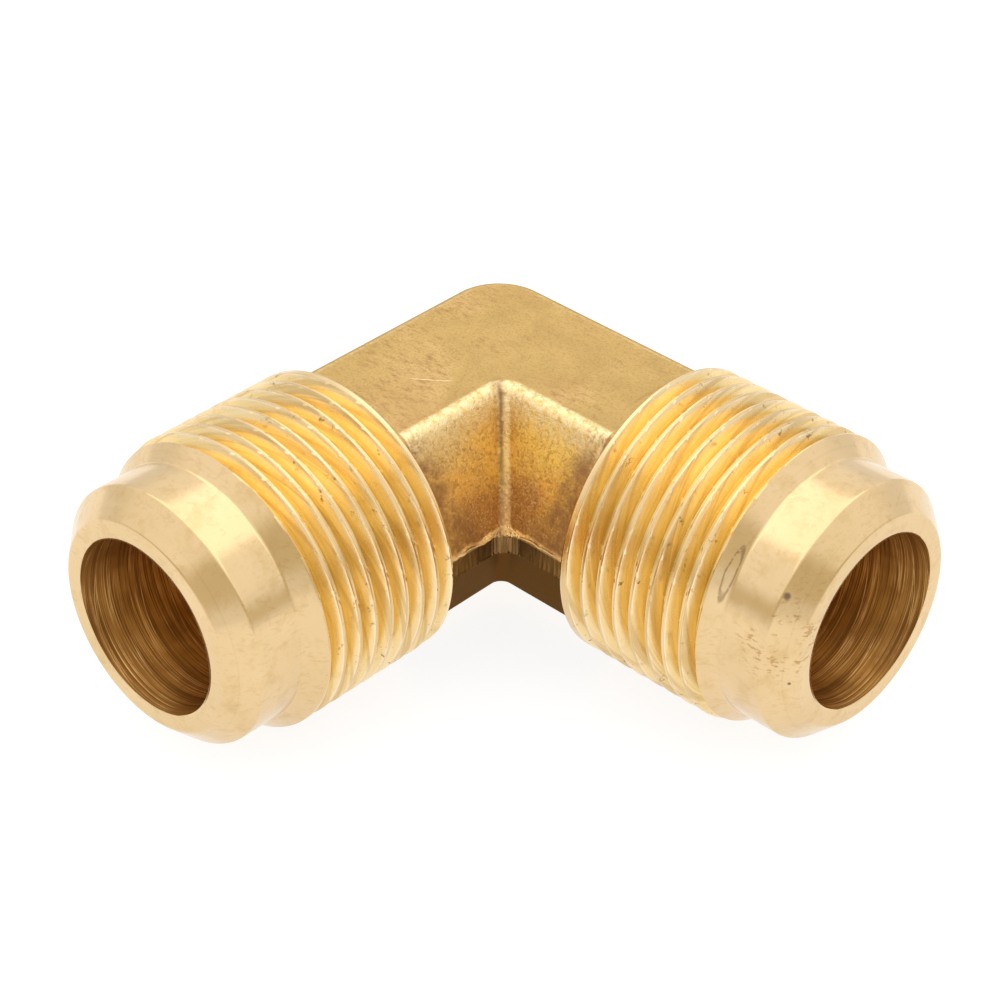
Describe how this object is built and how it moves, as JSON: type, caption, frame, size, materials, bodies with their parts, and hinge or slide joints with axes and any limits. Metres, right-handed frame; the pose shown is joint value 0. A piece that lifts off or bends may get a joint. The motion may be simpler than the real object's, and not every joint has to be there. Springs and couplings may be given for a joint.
{
  "type": "flare union elbow",
  "caption": "One-piece right-angle elbow fitting with a male 45 degree flare end on each arm, for joining flared tubes.",
  "frame": {"origin": "where the two bore axes cross, on the forging's parting plane, midway between the two flats", "axes": "+X along one arm towards its mouth, -Y along the other arm towards its mouth, +Z square to both arms, towards the top flat"},
  "size_m": [0.0562, 0.0562, 0.027],
  "materials": {
    "brass": "forged skin on the body, turned satin on the collars, noses and bores"
  },
  "bodies": {
    "root": {"elbow_body": "brass"}
  },
  "joints": []
}
